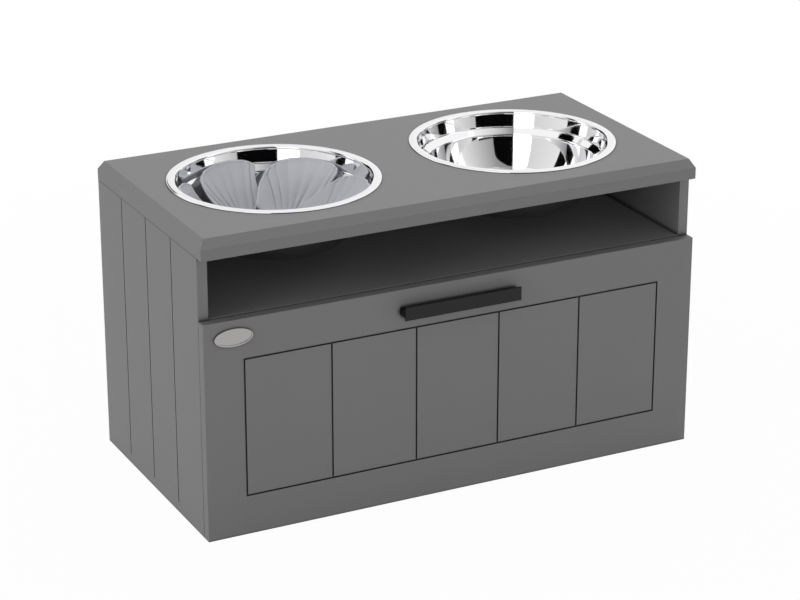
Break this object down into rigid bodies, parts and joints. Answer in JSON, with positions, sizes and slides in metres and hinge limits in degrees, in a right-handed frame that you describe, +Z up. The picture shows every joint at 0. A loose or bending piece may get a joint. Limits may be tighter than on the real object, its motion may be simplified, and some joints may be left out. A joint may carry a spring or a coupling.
{
  "type": "elevated pet feeder with storage drawer",
  "caption": "Low raised pet feeder cabinet: bevelled top with drop-in steel bowls and a slow feeder insert, open compartment, and a wide grooved pull-out drawer.",
  "frame": {"origin": "on the floor, in the middle of the whole object in plan, handle included", "axes": "+X to the right seen from the front, +Y from the drawer front to the back, +Z up"},
  "size_m": [0.6, 0.3122, 0.3468],
  "materials": {
    "painted_board": "satin dark grey paint on fibreboard",
    "drawer_board": "dark grey paint on fibreboard",
    "thin_panel": "dark grey paint on hardboard",
    "mirror_steel": "mirror-polished stainless steel",
    "insert_plastic": "moulded grey polypropylene",
    "black_aluminium": "black anodised",
    "badge_metal": "satin, blank",
    "beech": "bare fluted beech",
    "pad_plastic": "moulded",
    "cage_steel": "pressed strip with polished balls",
    "cam_zinc": "die-cast zinc",
    "zinc_steel": "zinc plated"
  },
  "bodies": {
    "cabinet": {"side_panel_left": "painted_board", "side_panel_right": "painted_board", "top_board": "painted_board", "shelf_board": "painted_board", "bottom_board": "painted_board", "back_panel": "thin_panel", "back_panel_screws": "zinc_steel", "foot_pads": "pad_plastic", "cam_bolts": "zinc_steel", "cam_locks": "cam_zinc", "dowels": "beech", "slide_outer_left": "zinc_steel", "slide_outer_right": "zinc_steel", "slide_outer_screws": "zinc_steel"},
    "drawer": {"drawer_front": "painted_board", "drawer_side_left": "drawer_board", "drawer_side_right": "drawer_board", "drawer_back": "drawer_board", "drawer_bottom": "thin_panel", "drawer_bottom_screws": "zinc_steel", "drawer_back_screws": "zinc_steel", "drawer_cam_bolts": "zinc_steel", "drawer_cam_locks": "cam_zinc", "drawer_dowels": "beech", "handle": "black_aluminium", "handle_screws": "zinc_steel", "badge_plate": "badge_metal", "slide_inner_left": "zinc_steel", "slide_inner_right": "zinc_steel", "slide_inner_screws": "zinc_steel"},
    "bowl_left": {"bowl_left": "mirror_steel"},
    "bowl_right": {"bowl_right": "mirror_steel"},
    "feeder_insert": {"feeder_insert": "insert_plastic"},
    "slide_middle_left": {"slide_middle_left": "zinc_steel"},
    "ball_cage_outer_left": {"ball_cage_outer_left": "cage_steel"},
    "ball_cage_inner_left": {"ball_cage_inner_left": "cage_steel"},
    "slide_middle_right": {"slide_middle_right": "zinc_steel"},
    "ball_cage_outer_right": {"ball_cage_outer_right": "cage_steel"},
    "ball_cage_inner_right": {"ball_cage_inner_right": "cage_steel"}
  },
  "joints": [
    {"name": "drawer_slide", "type": "slide", "parent": "cabinet", "child": "drawer", "axis": [0, -1, 0], "range_m": [0, 0.24]},
    {"name": "slide_middle_left_slide", "type": "slide", "parent": "cabinet", "child": "slide_middle_left", "axis": [0, -1, 0], "range_m": [0, 0.12]},
    {"name": "ball_cage_outer_left_slide", "type": "slide", "parent": "cabinet", "child": "ball_cage_outer_left", "axis": [0, -1, 0], "range_m": [0, 0.06]},
    {"name": "ball_cage_inner_left_slide", "type": "slide", "parent": "cabinet", "child": "ball_cage_inner_left", "axis": [0, -1, 0], "range_m": [0, 0.18]},
    {"name": "slide_middle_right_slide", "type": "slide", "parent": "cabinet", "child": "slide_middle_right", "axis": [0, -1, 0], "range_m": [0, 0.12]},
    {"name": "ball_cage_outer_right_slide", "type": "slide", "parent": "cabinet", "child": "ball_cage_outer_right", "axis": [0, -1, 0], "range_m": [0, 0.06]},
    {"name": "ball_cage_inner_right_slide", "type": "slide", "parent": "cabinet", "child": "ball_cage_inner_right", "axis": [0, -1, 0], "range_m": [0, 0.18]},
    {"name": "bowl_left_lift", "type": "slide", "parent": "cabinet", "child": "bowl_left", "axis": [0, 0, 1], "range_m": [0, 0.1]},
    {"name": "bowl_right_lift", "type": "slide", "parent": "cabinet", "child": "bowl_right", "axis": [0, 0, 1], "range_m": [0, 0.1]},
    {"name": "feeder_lift", "type": "slide", "parent": "bowl_left", "child": "feeder_insert", "axis": [0, 0, 1], "range_m": [0, 0.08]}
  ],
  "couplings": [
    {"joint": "slide_middle_left_slide", "follows": "drawer_slide", "ratio": 0.5},
    {"joint": "ball_cage_outer_left_slide", "follows": "drawer_slide", "ratio": 0.25},
    {"joint": "ball_cage_inner_left_slide", "follows": "drawer_slide", "ratio": 0.75},
    {"joint": "slide_middle_right_slide", "follows": "drawer_slide", "ratio": 0.5},
    {"joint": "ball_cage_outer_right_slide", "follows": "drawer_slide", "ratio": 0.25},
    {"joint": "ball_cage_inner_right_slide", "follows": "drawer_slide", "ratio": 0.75}
  ]
}
